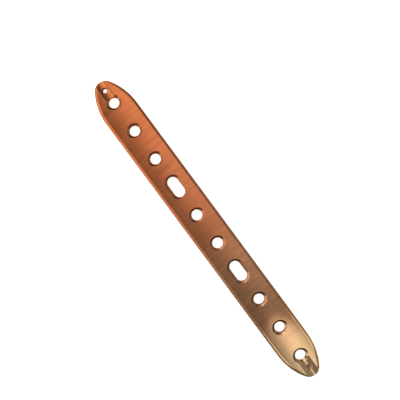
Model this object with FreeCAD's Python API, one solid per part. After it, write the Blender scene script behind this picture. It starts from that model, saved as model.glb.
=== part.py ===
"""Straight bone plate with ten in-line screw holes, two of them short slots.

The plate lies as it rests on a table: its domed outer face down, its hollowed bone face up.
+X runs along the plate from the end with the open wire hole to the end with the blind
mark, +Y runs across it and +Z points up out of the bone face. Lengths are in millimetres.
The origin is the middle of the plate at the level of the table.
"""
import FreeCAD, Part
import math
import os

# overall
hole_count = 10
hole_pitch = 16.0
end_distance = 11.5
plate_width = 17.3
core_thickness = 4.4
tip_length = 17.6
nose_r = 5.1

# section across the plate
bone_face_r = 28.0
outer_face_r = 40.0
bone_rim_r = 1.2
outer_rim_r = 2.4

# ends: the outer face curves up towards each tip, so the tips are thin
taper_length = 16.0
tip_rise = 2.0

# screw holes: a straight throat on the bone side, a round seat for the screw head outside
throat_d = 5.0
slot_width = 5.2
slot_length = 10.3
slot_numbers = (4, 7)
seat_r = 4.0
seat_depth = 1.6
lip_width = 0.7
lip_angle = 36.0
neck_width = 0.2
neck_angle = 60.0

# wire hole, blind mark and hook grooves at the ends
wire_hole_d = 2.2
wire_hole_from_end_hole = 7.0
mark_d = 2.2
mark_depth = 0.3
mark_point_angle = 30.0
mark_from_end_hole = 6.9
small_edge_break = 0.2
small_edge_ball = 0.7
wire_groove_r = 3.4
wire_groove_depth = 0.85
wire_groove_side = 40.0
mark_groove_r = 1.6
mark_groove_depth = 1.4
mark_groove_side = 32.0
ramp_r = 2.0
ramp_run = 1.2
ramp_angle = 33.0

# values that follow from the sizes above
length = hole_pitch * (hole_count - 1) + 2.0 * end_distance
half_width = plate_width / 2.0
flank_r = (tip_length ** 2 + half_width ** 2 - 2.0 * tip_length * nose_r) / (2.0 * (half_width - nose_r))
throat_r = throat_d / 2.0
slot_r = slot_width / 2.0
slot_travel = slot_length - slot_width
seat_z = seat_depth - math.sqrt(seat_r ** 2 - throat_r ** 2)
taper_r = (taper_length ** 2 + tip_rise ** 2) / (2.0 * tip_rise)
above = core_thickness + half_width
below = -half_width
first_hole_x = -hole_pitch * (hole_count - 1) / 2.0
last_hole_x = -first_hole_x


def vec(x, y, z):
    return FreeCAD.Vector(x, y, z)


def hole_x(number):
    return first_hole_x + hole_pitch * (number - 1)


def upright(radius, x, low, high):
    return Part.makeCylinder(radius, high - low, vec(x, 0, low), vec(0, 0, 1))


def lengthwise(radius, z, x_low, x_high):
    return Part.makeCylinder(radius, x_high - x_low, vec(x_low, 0, z), vec(1, 0, 0))


def plan_outline():
    """Straight sides that run in on wide flank arcs to a rounded nose at each end."""
    side_x = length / 2.0 - tip_length
    flank_y = half_width - flank_r
    nose_x = tip_length - nose_r
    lean = math.atan2(nose_x, -flank_y)
    meet_x = side_x + flank_r * math.sin(lean)
    meet_y = flank_y + flank_r * math.cos(lean)
    middle_x = side_x + flank_r * math.sin(lean / 2.0)
    middle_y = flank_y + flank_r * math.cos(lean / 2.0)
    edges = []
    for way in (1, -1):
        tip = vec(way * length / 2.0, 0, below)
        for side in (1, -1):
            start = vec(way * side_x, side * half_width, below)
            middle = vec(way * middle_x, side * middle_y, below)
            meet = vec(way * meet_x, side * meet_y, below)
            edges.append(Part.Arc(start, middle, meet).toShape())
        nose = Part.Arc(vec(way * meet_x, meet_y, below), tip, vec(way * meet_x, -meet_y, below))
        edges.append(nose.toShape())
    for side in (1, -1):
        y = side * half_width
        edges.append(Part.makeLine(vec(-side_x, y, below), vec(side_x, y, below)))
    wire = Part.Wire(Part.__sortEdges__(edges))
    return Part.Face(wire).extrude(vec(0, 0, above - below))


def curved_blank():
    """The outline between the domed outer face and the hollowed bone face."""
    reach = length
    dome = lengthwise(outer_face_r, outer_face_r, -reach, reach)
    hollow = lengthwise(bone_face_r, core_thickness + bone_face_r, -reach, reach)
    return plan_outline().common(dome).cut(hollow)


def rim_edges(shape, face_r, axis_z):
    """Edges of the outline that lie on one of the two long curved faces."""
    found = []
    for edge in shape.Edges:
        low, high = edge.ParameterRange
        points = [edge.valueAt(low + (high - low) * k / 4.0) for k in range(5)]
        off = max(abs(math.hypot(p.y, p.z - axis_z) - face_r) for p in points)
        if off < 0.001:
            found.append(edge)
    return found


def under_tip(way):
    """What the upward curve of the outer face takes off below one tip."""
    start_x = way * (length / 2.0 - taper_length)
    side = plate_width
    block = Part.makeBox(taper_length + 1.0, 2.0 * side, taper_r - below, vec(0, -side, below))
    if way < 0:
        block.translate(vec(-taper_length - 1.0, 0, 0))
    block.translate(vec(start_x, 0, 0))
    roll = Part.makeCylinder(taper_r, 2.0 * side, vec(start_x, -side, taper_r), vec(0, 1, 0))
    return block.cut(roll)


def mouth_face(x, across, radius):
    """Half section of a broken hole mouth: a shallow lip that steepens to a neck above the throat."""
    lip_slope = math.tan(math.radians(lip_angle))
    neck_slope = math.tan(math.radians(neck_angle))
    neck_top = core_thickness - lip_width * lip_slope
    low = neck_top - neck_width * neck_slope
    reach = seat_r
    wide = radius + neck_width + lip_width + reach
    high = core_thickness + reach * lip_slope
    run = [(0.0, low), (radius, low), (radius + neck_width, neck_top), (wide, high), (0.0, high)]
    points = [vec(x + (0 if across else r), r * across, z) for r, z in run]
    return Part.Face(Part.makePolygon(points + [points[0]]))


def round_mouth(x, radius):
    return mouth_face(x, 0, radius).revolve(vec(x, 0, 0), vec(0, 0, 1), 360.0)


def round_cutter(x, radius):
    seat = Part.makeSphere(seat_r, vec(x, 0, seat_z))
    throat = upright(radius, x, seat_z, core_thickness)
    return throat.fuse([seat, round_mouth(x, radius)])


def slot_cutter(x):
    """The round hole's cutter carried along the plate, so the screw can slide."""
    start = x - slot_travel / 2.0
    stop = x + slot_travel / 2.0
    parts = [round_cutter(stop, slot_r), lengthwise(seat_r, seat_z, start, stop)]
    depth = core_thickness - seat_z
    parts.append(Part.makeBox(slot_travel, slot_width, depth, vec(start, -slot_r, seat_z)))
    for side in (1, -1):
        parts.append(mouth_face(start, side, slot_r).extrude(vec(slot_travel, 0, 0)))
    return round_cutter(start, slot_r).fuse(parts)


def groove(end_x, out, radius, depth, side_angle):
    """Groove from an end hole out through the tip: a round bottom that runs into straight sloping sides."""
    lean = math.radians(side_angle)
    floor_z = core_thickness - depth
    low_y = radius * math.sin(lean)
    low_z = floor_z + radius * (1.0 - math.cos(lean))
    high_y = low_y + half_width
    high_z = low_z + half_width * math.tan(lean)
    bottom = Part.Arc(vec(end_x, -low_y, low_z), vec(end_x, 0, floor_z), vec(end_x, low_y, low_z)).toShape()
    sides = Part.makePolygon([
        vec(end_x, low_y, low_z), vec(end_x, high_y, high_z),
        vec(end_x, -high_y, high_z), vec(end_x, -low_y, low_z),
    ])
    section = Part.Face(Part.Wire([bottom] + sides.Edges))
    return section.extrude(vec(out * length, 0, 0))


def ramp(end_x, out, floor_z):
    """Round-bottomed slope that carries the floor of a groove down through the wall of its end hole."""
    lean = math.radians(ramp_angle)
    top_x = end_x + out * (throat_r + ramp_run)
    down = vec(-out * math.cos(lean), 0, -math.sin(lean))
    rise = vec(-out * math.sin(lean), 0, math.cos(lean))
    start = vec(top_x, 0, floor_z) + rise * ramp_r - down * half_width
    return Part.makeCylinder(ramp_r, half_width + throat_r, start, down)


def drilled(x, radius, low, floor_z):
    """A small upright hole whose edge is eased with a ball where it opens in the floor of a groove."""
    ball_r = radius + small_edge_ball
    ball_z = floor_z - small_edge_break + math.sqrt(ball_r ** 2 - radius ** 2)
    return upright(radius, x, low, above).fuse(Part.makeSphere(ball_r, vec(x, 0, ball_z)))


plate = curved_blank()
plate = plate.makeFillet(bone_rim_r, rim_edges(plate, bone_face_r, core_thickness + bone_face_r))
plate = plate.makeFillet(outer_rim_r, rim_edges(plate, outer_face_r, outer_face_r))
plate = plate.cut(under_tip(-1)).cut(under_tip(1))

for number in range(1, hole_count + 1):
    x = hole_x(number)
    plate = plate.cut(slot_cutter(x) if number in slot_numbers else round_cutter(x, throat_r))
plate = plate.removeSplitter()

wire_floor = core_thickness - wire_groove_depth
plate = plate.cut(groove(first_hole_x, -1, wire_groove_r, wire_groove_depth, wire_groove_side))
wire_x = first_hole_x - wire_hole_from_end_hole
plate = plate.cut(drilled(wire_x, wire_hole_d / 2.0, below, wire_floor))

mark_floor = core_thickness - mark_groove_depth
plate = plate.cut(groove(last_hole_x, 1, mark_groove_r, mark_groove_depth, mark_groove_side))
plate = plate.cut(ramp(last_hole_x, 1, mark_floor))
mark_x = last_hole_x + mark_from_end_hole
mark_r = mark_d / 2.0
mark_low = mark_floor - mark_depth
point_depth = mark_r * math.tan(math.radians(mark_point_angle))
plate = plate.cut(drilled(mark_x, mark_r, mark_low, mark_floor))
plate = plate.cut(Part.makeCone(0, mark_r, point_depth, vec(mark_x, 0, mark_low - point_depth), vec(0, 0, 1)))

solids = plate.Solids
if len(solids) != 1 or not plate.isValid():
    raise RuntimeError("the plate must be one valid solid")
plate = solids[0]

os.makedirs("parts", exist_ok=True)
plate.exportStep("parts/bone_plate.step")

print("length", round(plate.BoundBox.XLength, 2), "width", round(plate.BoundBox.YLength, 2))
print("volume", round(plate.Volume, 1))
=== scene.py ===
import math

import bpy
import mathutils
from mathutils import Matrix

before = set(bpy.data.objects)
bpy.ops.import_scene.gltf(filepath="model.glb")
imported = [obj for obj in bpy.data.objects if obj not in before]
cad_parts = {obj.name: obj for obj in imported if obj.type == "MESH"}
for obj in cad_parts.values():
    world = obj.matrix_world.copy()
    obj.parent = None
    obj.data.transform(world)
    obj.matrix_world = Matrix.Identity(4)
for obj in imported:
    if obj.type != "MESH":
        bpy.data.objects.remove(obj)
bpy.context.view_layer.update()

MM = 0.001
WHITE = (1.0, 1.0, 1.0, 1.0)

# camera: straight above this point of the plate, which is turned in the picture
CAMERA_X = -12.67 * MM
CAMERA_Y = 5.25 * MM
CAMERA_HEIGHT = 300.0 * MM
PLATE_TURN = 53.488
PIXEL_MM = 0.4578
BONE_FACE_Z = 4.4 * MM
PICTURE_PIXELS = 400
SENSOR_WIDTH = 36.0
NEAREST_SEEN = 0.01
FARTHEST_SEEN = 10.0

# oxide tint with painted light and shade: each colour at its share of the way from the copper end at -X
# to the tan end at +X
PLATE_END = 83.5 * MM
# the film drifts from copper to tan, and the stops also carry painted shade along the plate, such as the
# darker one at 0.80
TINT_AND_SHADE_STOPS = (
    (0.00, "#C87144"),
    (0.15, "#CC7447"),
    (0.30, "#CF784C"),
    (0.40, "#D17C51"),
    (0.50, "#CB7D53"),
    (0.62, "#C88D65"),
    (0.70, "#C08963"),
    (0.80, "#B4825E"),
    (0.90, "#C6A177"),
    (1.00, "#C6A67F"),
)

# brushing: lines across the plate, drawn coarser than real ones so that they show in the picture
LINE_WIDTH = 0.9 * MM
LINE_STRETCH = (1.0, 0.09, 0.3)
LINE_DETAIL = 3.0
LINE_BREAKUP = 0.6
LINE_LOW = 0.3
LINE_HIGH = 0.7
RIDGE_HEIGHT = 0.012 * MM
RIDGE_STRENGTH = 0.5

# the lines darken and lighten the tint by these shares, from the faint patches to the strong ones
PATCH_SIZE = 12.0 * MM
PATCH_DETAIL = 1.0
FAINT_PATCH = 0.35
STRONG_PATCH = 0.65
FAINT_DARK = 0.95
STRONG_DARK = 0.78
FAINT_LIGHT = 1.04
STRONG_LIGHT = 1.16

# bright metal: satin, its highlights drawn out more one way than the other
SMOOTHEST = 0.10
ROUGHEST = 0.15
HIGHLIGHT_STRETCH = 0.5

# seen at a glancing angle the bores keep a brown cast, painted shade on what they mirror, and the
# outside turns nearly white
SHADED_BORE_GLANCE = "#A08070"
OUTSIDE_GLANCE = "#F4E8DC"

# the bright throats of the holes lie in a box of this half length, half width and height
BORE_BOX = (74.6 * MM, 4.2 * MM, 3.4 * MM)

# painted shade: a dark, rough skin outside that box, wherever the upward share of the surface's
# direction is small
STEEP_BELOW = 0.62
LEVEL_ABOVE = 0.74
PAINTED_SHADE_DIM = 0.38
SHADE_SKIN_ROUGHNESS = 0.6
SHADE_SKIN_SHINE = 0.1

# blind mark in the groove at the +X end, drilled, with painted shade in its pit
MARK_PLACE = (78.9 * MM, 0.0, 1.75 * MM)
MARK_REACH = 1.5 * MM

# studio floor: matt white paper, wide enough to reach the horizon in low views
FLOOR_SIDE = 8.0
FLOOR_Z = -0.02 * MM
PAPER_COLOUR = "#B4B4B2"
PAPER_GLOW = 0.9

# room: an even level and seven soft glows, each with the most that its strength may reach and
# with its middle and spread as shares of its direction to the right and up in the picture
ROOM_LEVEL = 0.16
LEFT_GLOW = {"strength": 1.98, "most": 1.18, "centre": (-0.88, 0.30), "spread": (0.53, 0.53)}
RIGHT_GLOW = {"strength": 0.1, "most": 0.1, "centre": (1.0, 0.17), "spread": (0.71, 0.71)}
UPPER_WINDOW = {"strength": 1.35, "most": 1.35, "centre": (-0.38, 0.68), "spread": (0.17, 0.12)}
MIDDLE_WINDOW = {"strength": 0.45, "most": 0.45, "centre": (-0.82, 0.05), "spread": (0.12, 0.14)}
LOWER_WINDOW = {"strength": 1.1, "most": 1.1, "centre": (-0.84, -0.52), "spread": (0.13, 0.15)}
FAR_WINDOW = {"strength": 1.0, "most": 1.0, "centre": (0.78, 0.02), "spread": (0.08, 0.16)}
EDGE_WINDOW = {"strength": 0.32, "most": 0.32, "centre": (0.77, 0.55), "spread": (0.11, 0.13)}

# low over the floor the room keeps only a share of its light, and all of it from higher up
HORIZON_SHARE = 0.3
HORIZON_LOW = 0.2
HORIZON_HIGH = 0.5

# soft lamp high over the end with the blind mark, brightest along its middle, with a round edge
LAMP_PLACE = (112.0 * MM, -10.0 * MM, 160.0 * MM)
LAMP_LENGTH = 64.0 * MM
LAMP_WIDTH = 230.0 * MM
LAMP_GLOW = {"strength": 1.3, "most": 1.3, "centre": (0.0, -2.0 * MM), "spread": (1.0, 41.0 * MM)}
LAMP_EDGE_CENTRE = (173.0 * MM, 16.0 * MM, 0.0)
LAMP_EDGE_RADIUS = 200.0 * MM
LAMP_EDGE_SOFT = 5.0 * MM

# broad lamp low at the left: it lights the walls of the holes that face it
WINDOW_PLACE = (-290.0 * MM, -280.0 * MM, 227.0 * MM)
WINDOW_TARGET = (40.0 * MM, 0.0, 0.0)
WINDOW_SIDE = 200.0 * MM
WINDOW_POWER = 3.0

# small lamp close beside the +X end: it lights the edge that curves in there
TIP_LAMP_PLACE = (95.0 * MM, 35.0 * MM, 14.0 * MM)
TIP_LAMP_TARGET = (73.0 * MM, 7.0 * MM, 2.0 * MM)
TIP_LAMP_SIDE = 12.0 * MM
TIP_LAMP_POWER = 0.05


def hex_linear(code):
    """An sRGB colour written as #RRGGBB, as the linear values that a shader takes."""
    shares = [int(code[k:k + 2], 16) / 255.0 for k in (1, 3, 5)]
    linear = [s / 12.92 if s <= 0.04045 else ((s + 0.055) / 1.055) ** 2.4 for s in shares]
    return (*linear, 1.0)


def add_node(tree, kind, settings=None, inputs=None):
    """A node with its settings, and with each input given as a value or as a socket to link."""
    made = tree.nodes.new(kind)
    for name, value in (settings or {}).items():
        setattr(made, name, value)
    for name, value in (inputs or {}).items():
        if isinstance(value, bpy.types.NodeSocket):
            tree.links.new(value, made.inputs[name])
        else:
            made.inputs[name].default_value = value
    return made


def new_material(name):
    """An empty material, ready for its nodes."""
    material = bpy.data.materials.new(name)
    material.use_nodes = True
    material.node_tree.nodes.clear()
    return material


def oxide_tint_and_shade(tree, place):
    """The colour of the thin oxide, copper at one end of the plate and tan at the other, with painted
    light and shade along its length.
    """
    along = add_node(tree, "ShaderNodeSeparateXYZ", inputs={"Vector": place}).outputs["X"]
    share = add_node(tree, "ShaderNodeMapRange", inputs={
        "Value": along, "From Min": -PLATE_END, "From Max": PLATE_END,
    }).outputs["Result"]
    tint = add_node(tree, "ShaderNodeValToRGB", inputs={"Fac": share})
    elements = tint.color_ramp.elements
    while len(elements) < len(TINT_AND_SHADE_STOPS):
        elements.new(1.0)
    for element, (stop, code) in zip(elements, TINT_AND_SHADE_STOPS):
        element.position = stop
        element.color = hex_linear(code)
    return tint.outputs["Color"]


def brush_lines(tree, place):
    """The height of the brushing: long fine lines across the plate."""
    stretch = add_node(tree, "ShaderNodeMapping", inputs={"Vector": place, "Scale": LINE_STRETCH})
    return add_node(tree, "ShaderNodeTexNoise", inputs={
        "Vector": stretch.outputs["Vector"], "Scale": 1.0 / LINE_WIDTH,
        "Detail": LINE_DETAIL, "Roughness": LINE_BREAKUP,
    }).outputs["Fac"]


def line_shade(tree, place, lines):
    """How much each line darkens or lightens the tint: little in some patches, more in others."""
    patches = add_node(tree, "ShaderNodeTexNoise", inputs={
        "Vector": place, "Scale": 1.0 / PATCH_SIZE, "Detail": PATCH_DETAIL,
    }).outputs["Fac"]
    darkest = add_node(tree, "ShaderNodeMapRange", inputs={
        "Value": patches, "From Min": FAINT_PATCH, "From Max": STRONG_PATCH,
        "To Min": FAINT_DARK, "To Max": STRONG_DARK,
    })
    lightest = add_node(tree, "ShaderNodeMapRange", inputs={
        "Value": patches, "From Min": FAINT_PATCH, "From Max": STRONG_PATCH,
        "To Min": FAINT_LIGHT, "To Max": STRONG_LIGHT,
    })
    return add_node(tree, "ShaderNodeMapRange", inputs={
        "Value": lines, "From Min": LINE_LOW, "From Max": LINE_HIGH,
        "To Min": darkest.outputs["Result"], "To Max": lightest.outputs["Result"],
    }).outputs["Result"]


def outside_bores(tree, place):
    """One outside the box that the bright throats of the holes lie in, nought inside it."""
    scaled = add_node(tree, "ShaderNodeVectorMath", {"operation": "MULTIPLY"}, {
        0: place, 1: tuple(1.0 / reach for reach in BORE_BOX),
    })
    share = add_node(tree, "ShaderNodeVectorMath", {"operation": "ABSOLUTE"}, {
        0: scaled.outputs["Vector"],
    })
    whole = add_node(tree, "ShaderNodeVectorMath", {"operation": "FLOOR"}, {
        0: share.outputs["Vector"],
    })
    steps = add_node(tree, "ShaderNodeVectorMath", {"operation": "LENGTH"}, {
        0: whole.outputs["Vector"],
    })
    return add_node(tree, "ShaderNodeMath", {"operation": "GREATER_THAN"}, {
        0: steps.outputs["Value"], 1: 0.5,
    }).outputs["Value"]


def painted_shade_share(tree, place, outside):
    """Where shade is painted: one on the steep outer sides, the necks of the holes and the mark, nought
    on bright metal.
    """
    normal = add_node(tree, "ShaderNodeTexCoord").outputs["Normal"]
    facing = add_node(tree, "ShaderNodeSeparateXYZ", inputs={"Vector": normal}).outputs["Z"]
    level = add_node(tree, "ShaderNodeMath", {"operation": "ABSOLUTE"}, {0: facing})
    steep = add_node(tree, "ShaderNodeMapRange", inputs={
        "Value": level.outputs["Value"], "From Min": STEEP_BELOW, "From Max": LEVEL_ABOVE,
        "To Min": 1.0, "To Max": 0.0,
    })
    on_sides = add_node(tree, "ShaderNodeMath", {"operation": "MULTIPLY"}, {
        0: steep.outputs["Result"], 1: outside,
    })
    from_mark = add_node(tree, "ShaderNodeVectorMath", {"operation": "DISTANCE"}, {
        0: place, 1: MARK_PLACE,
    })
    in_mark = add_node(tree, "ShaderNodeMath", {"operation": "LESS_THAN"}, {
        0: from_mark.outputs["Value"], 1: MARK_REACH,
    })
    return add_node(tree, "ShaderNodeMath", {"operation": "MAXIMUM"}, {
        0: on_sides.outputs["Value"], 1: in_mark.outputs["Value"],
    }).outputs["Value"]


def anodised_titanium():
    """Titanium, cross-brushed and then anodised: a satin metal under a thin oxide tint that
    drifts from copper at one end to tan at the other, with painted light and shade along it.
    The faces and the drilled holes shine, with painted brown shade in the bores' glancing reflection;
    the steep outer sides, the necks of the holes and the blind mark carry painted shade as a dark, rough
    skin."""
    material = new_material("anodised_titanium")
    tree = material.node_tree
    place = add_node(tree, "ShaderNodeTexCoord").outputs["Object"]
    lines = brush_lines(tree, place)
    colour = add_node(tree, "ShaderNodeVectorMath", {"operation": "SCALE"}, {
        0: oxide_tint_and_shade(tree, place), "Scale": line_shade(tree, place, lines),
    }).outputs["Vector"]
    ridges = add_node(tree, "ShaderNodeBump", inputs={
        "Height": lines, "Strength": RIDGE_STRENGTH, "Distance": RIDGE_HEIGHT,
    })
    roughness = add_node(tree, "ShaderNodeMapRange", inputs={
        "Value": lines, "To Min": SMOOTHEST, "To Max": ROUGHEST,
    })
    outside = outside_bores(tree, place)
    # painted shade: inside the bore box the metal's glancing reflection is tinted brown
    # for colours, this node takes its share at 0 and the two colours at 6 and 7, and mixes them at 2
    glance_and_bore_shade = add_node(tree, "ShaderNodeMix", {"data_type": "RGBA"}, {
        0: outside, 6: hex_linear(SHADED_BORE_GLANCE), 7: hex_linear(OUTSIDE_GLANCE),
    })
    around = add_node(tree, "ShaderNodeTangent", {"direction_type": "RADIAL", "axis": "X"})
    metal = add_node(tree, "ShaderNodeBsdfPrincipled", inputs={
        "Base Color": colour, "Metallic": 1.0, "Specular Tint": glance_and_bore_shade.outputs[2],
        "Roughness": roughness.outputs["Result"], "Normal": ridges.outputs["Normal"],
        "Anisotropic": HIGHLIGHT_STRETCH, "Tangent": around.outputs["Tangent"],
    })
    painted_shade_colour = add_node(tree, "ShaderNodeVectorMath", {"operation": "SCALE"}, {
        0: colour, "Scale": PAINTED_SHADE_DIM,
    })
    painted_shade_skin = add_node(tree, "ShaderNodeBsdfPrincipled", inputs={
        "Base Color": painted_shade_colour.outputs["Vector"],
        "Roughness": SHADE_SKIN_ROUGHNESS, "Specular IOR Level": SHADE_SKIN_SHINE,
    })
    finish = add_node(tree, "ShaderNodeMixShader", inputs={
        0: painted_shade_share(tree, place, outside), 1: metal.outputs["BSDF"], 2: painted_shade_skin.outputs["BSDF"],
    })
    add_node(tree, "ShaderNodeOutputMaterial", inputs={"Surface": finish.outputs["Shader"]})
    return material


def studio_paper():
    """Matt white paper. It shows white to the eye, in the metal too, and keeps a soft shadow."""
    material = new_material("studio_paper")
    tree = material.node_tree
    ray = add_node(tree, "ShaderNodeLightPath")
    seen = add_node(tree, "ShaderNodeMath", {"operation": "MAXIMUM"}, {
        0: ray.outputs["Is Camera Ray"], 1: ray.outputs["Is Glossy Ray"],
    })
    shown = add_node(tree, "ShaderNodeMath", {"operation": "MAXIMUM"}, {
        0: seen.outputs["Value"], 1: ray.outputs["Is Transmission Ray"],
    })
    glow = add_node(tree, "ShaderNodeMath", {"operation": "MULTIPLY"}, {
        0: shown.outputs["Value"], 1: PAPER_GLOW,
    })
    matt = add_node(tree, "ShaderNodeBsdfDiffuse", inputs={"Color": hex_linear(PAPER_COLOUR)})
    white = add_node(tree, "ShaderNodeEmission", inputs={
        "Color": WHITE, "Strength": glow.outputs["Value"],
    })
    both = add_node(tree, "ShaderNodeAddShader", inputs={
        0: matt.outputs["BSDF"], 1: white.outputs["Emission"],
    })
    add_node(tree, "ShaderNodeOutputMaterial", inputs={"Surface": both.outputs["Shader"]})
    return material


def soft_glow(tree, way, glow):
    """Brightness of one wide soft light: even at most in its middle, then a smooth fall."""
    right, up = glow["centre"]
    wide, high = glow["spread"]
    near = add_node(tree, "ShaderNodeVectorMath", {"operation": "MULTIPLY_ADD"}, {
        0: way, 1: (1.0 / wide, 1.0 / high, 0.0), 2: (-right / wide, -up / high, 0.0),
    }).outputs["Vector"]
    off = add_node(tree, "ShaderNodeVectorMath", {"operation": "DOT_PRODUCT"}, {0: near, 1: near})
    half = add_node(tree, "ShaderNodeMath", {"operation": "MULTIPLY"}, {
        0: off.outputs["Value"], 1: -0.5,
    })
    fall = add_node(tree, "ShaderNodeMath", {"operation": "EXPONENT"}, {0: half.outputs["Value"]})
    bright = add_node(tree, "ShaderNodeMath", {"operation": "MULTIPLY"}, {
        0: fall.outputs["Value"], 1: glow["strength"],
    })
    return add_node(tree, "ShaderNodeMath", {"operation": "MINIMUM"}, {
        0: bright.outputs["Value"], 1: glow["most"],
    }).outputs["Value"]


def light_room():
    """A plain room: a wide soft light to the left of the plate, a weak one to its right, and windows."""
    world = bpy.data.worlds.new("studio_room")
    bpy.context.scene.world = world
    world.use_nodes = True
    tree = world.node_tree
    tree.nodes.clear()
    way = add_node(tree, "ShaderNodeTexCoord").outputs["Generated"]
    room_way = add_node(tree, "ShaderNodeVectorRotate", {"rotation_type": "Z_AXIS"}, {
        "Vector": way, "Angle": -math.radians(PLATE_TURN),
    }).outputs["Vector"]
    level = add_node(tree, "ShaderNodeMath", {"operation": "ADD"}, {
        0: soft_glow(tree, room_way, LEFT_GLOW), 1: ROOM_LEVEL,
    }).outputs["Value"]
    for glow in (RIGHT_GLOW, UPPER_WINDOW, MIDDLE_WINDOW, LOWER_WINDOW, FAR_WINDOW, EDGE_WINDOW):
        level = add_node(tree, "ShaderNodeMath", {"operation": "ADD"}, {
            0: soft_glow(tree, room_way, glow), 1: level,
        }).outputs["Value"]
    height = add_node(tree, "ShaderNodeSeparateXYZ", inputs={"Vector": way}).outputs["Z"]
    kept = add_node(tree, "ShaderNodeMapRange", inputs={
        "Value": height, "From Min": HORIZON_LOW, "From Max": HORIZON_HIGH,
        "To Min": HORIZON_SHARE, "To Max": 1.0,
    })
    strength = add_node(tree, "ShaderNodeMath", {"operation": "MULTIPLY"}, {
        0: level, 1: kept.outputs["Result"],
    })
    sky = add_node(tree, "ShaderNodeBackground", inputs={
        "Color": WHITE, "Strength": strength.outputs["Value"],
    })
    add_node(tree, "ShaderNodeOutputWorld", inputs={"Surface": sky.outputs["Background"]})


def lamp_veil():
    """A thin lit screen: soft light fades out from its middle line, and the room shows through."""
    material = new_material("lamp_veil")
    tree = material.node_tree
    place = add_node(tree, "ShaderNodeTexCoord").outputs["Object"]
    away = add_node(tree, "ShaderNodeVectorMath", {"operation": "DISTANCE"}, {
        0: place, 1: LAMP_EDGE_CENTRE,
    })
    inside = add_node(tree, "ShaderNodeMapRange", {"interpolation_type": "SMOOTHSTEP"}, {
        "Value": away.outputs["Value"], "From Min": LAMP_EDGE_RADIUS - LAMP_EDGE_SOFT,
        "From Max": LAMP_EDGE_RADIUS + LAMP_EDGE_SOFT, "To Min": 1.0, "To Max": 0.0,
    })
    bright = add_node(tree, "ShaderNodeMath", {"operation": "MULTIPLY"}, {
        0: soft_glow(tree, place, LAMP_GLOW), 1: inside.outputs["Result"],
    })
    light = add_node(tree, "ShaderNodeEmission", inputs={
        "Color": WHITE, "Strength": bright.outputs["Value"],
    })
    clear = add_node(tree, "ShaderNodeBsdfTransparent")
    both = add_node(tree, "ShaderNodeAddShader", inputs={
        0: light.outputs["Emission"], 1: clear.outputs["BSDF"],
    })
    add_node(tree, "ShaderNodeOutputMaterial", inputs={"Surface": both.outputs["Shader"]})
    return material


def add_sheet(name, length, width, place, material):
    """A flat rectangle of the studio: no part of the plate."""
    signs = ((-1, -1), (1, -1), (1, 1), (-1, 1))
    corners = [(x * length / 2.0, y * width / 2.0, 0.0) for x, y in signs]
    mesh = bpy.data.meshes.new(name)
    mesh.from_pydata(corners, [], [(0, 1, 2, 3)])
    mesh.materials.append(material)
    sheet = bpy.data.objects.new(name, mesh)
    bpy.context.scene.collection.objects.link(sheet)
    sheet.location = place
    return sheet


def add_soft_lamp(name, place, target, side, power):
    """A square lamp that lights the painted-shade skin and the floor but isn't mirrored in the metal."""
    data = bpy.data.lights.new(name, "AREA")
    data.size = side
    data.energy = power
    lamp = bpy.data.objects.new(name, data)
    bpy.context.scene.collection.objects.link(lamp)
    lamp.location = place
    toward = mathutils.Vector(target) - mathutils.Vector(place)
    lamp.rotation_euler = toward.to_track_quat("-Z", "Y").to_euler()
    lamp.visible_glossy = False
    lamp.visible_camera = False


def add_camera():
    """Looks straight down, rolled so that the plate runs down the picture to the right."""
    data = bpy.data.cameras.new("camera")
    camera = bpy.data.objects.new("camera", data)
    bpy.context.scene.collection.objects.link(camera)
    camera.location = (CAMERA_X, CAMERA_Y, CAMERA_HEIGHT)
    camera.rotation_euler = (0.0, 0.0, math.radians(PLATE_TURN))
    data.sensor_width = SENSOR_WIDTH
    data.lens = SENSOR_WIDTH * (CAMERA_HEIGHT - BONE_FACE_Z) / (PICTURE_PIXELS * PIXEL_MM * MM)
    data.clip_start = NEAREST_SEEN
    data.clip_end = FARTHEST_SEEN
    bpy.context.scene.camera = camera


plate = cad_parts["bone_plate"]
plate.data.materials.clear()
plate.data.materials.append(anodised_titanium())

add_sheet("floor", FLOOR_SIDE, FLOOR_SIDE, (0.0, 0.0, FLOOR_Z), studio_paper())
end_lamp = add_sheet("end_lamp", LAMP_LENGTH, LAMP_WIDTH, LAMP_PLACE, lamp_veil())
end_lamp.visible_camera = False
add_soft_lamp("window_lamp", WINDOW_PLACE, WINDOW_TARGET, WINDOW_SIDE, WINDOW_POWER)
add_soft_lamp("tip_lamp", TIP_LAMP_PLACE, TIP_LAMP_TARGET, TIP_LAMP_SIDE, TIP_LAMP_POWER)
light_room()
add_camera()

bpy.context.scene.view_settings.view_transform = "Standard"
